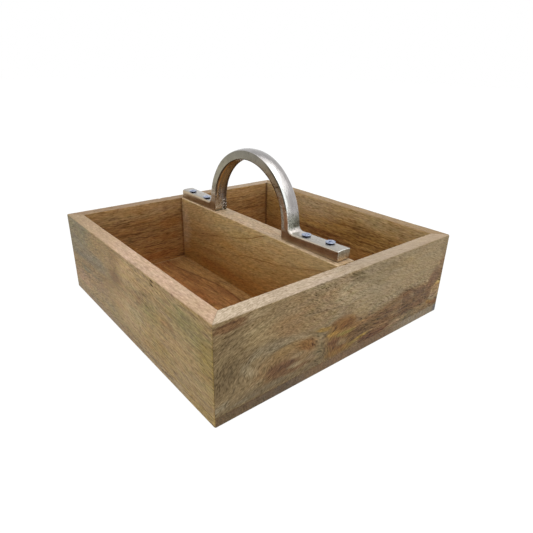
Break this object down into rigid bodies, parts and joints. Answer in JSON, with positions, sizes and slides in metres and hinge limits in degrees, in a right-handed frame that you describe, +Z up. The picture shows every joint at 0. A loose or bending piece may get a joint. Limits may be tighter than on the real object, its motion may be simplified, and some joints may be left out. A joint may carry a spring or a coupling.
{
  "type": "cutlery caddy",
  "caption": "Square open-topped wooden cutlery caddy with mitred walls, a divider between two compartments and a cast arch handle screwed along the divider.",
  "frame": {"origin": "centre of the footprint, on the surface that the caddy stands on", "axes": "+Z up; +X along the divider and the handle; +Y across the divider. The picture is taken from +X and -Y, above the near corner"},
  "size_m": [0.25, 0.2476, 0.142],
  "materials": {
    "wood_base": "mango-type hardwood, reddish brown, satin",
    "wood_front": "mango-type hardwood, olive tan with grey-green streaks, satin",
    "wood_right": "mango-type hardwood, grey-taupe with brown blotches, satin",
    "wood_back": "mango-type hardwood, warm brown with dark streaks, satin",
    "wood_left": "mango-type hardwood, warm brown with wavy dark stripes, satin",
    "wood_divider": "mango-type hardwood, golden tan, smooth satin",
    "cast_aluminium": "sand-cast and hand-ground, satin with small casting pits",
    "zinc_screw": "bright bluish zinc plating"
  },
  "bodies": {
    "root": {"base_board": "wood_base", "wall_front": "wood_front", "wall_right": "wood_right", "wall_back": "wood_back", "wall_left": "wood_left", "divider": "wood_divider", "handle": "cast_aluminium", "handle_screw_1": "zinc_screw", "handle_screw_2": "zinc_screw", "handle_screw_3": "zinc_screw", "handle_screw_4": "zinc_screw", "base_screw_1": "zinc_screw", "base_screw_2": "zinc_screw", "base_screw_3": "zinc_screw", "base_screw_4": "zinc_screw", "base_screw_5": "zinc_screw", "base_screw_6": "zinc_screw", "base_screw_7": "zinc_screw", "base_screw_8": "zinc_screw", "base_screw_9": "zinc_screw", "base_screw_10": "zinc_screw"}
  },
  "joints": []
}
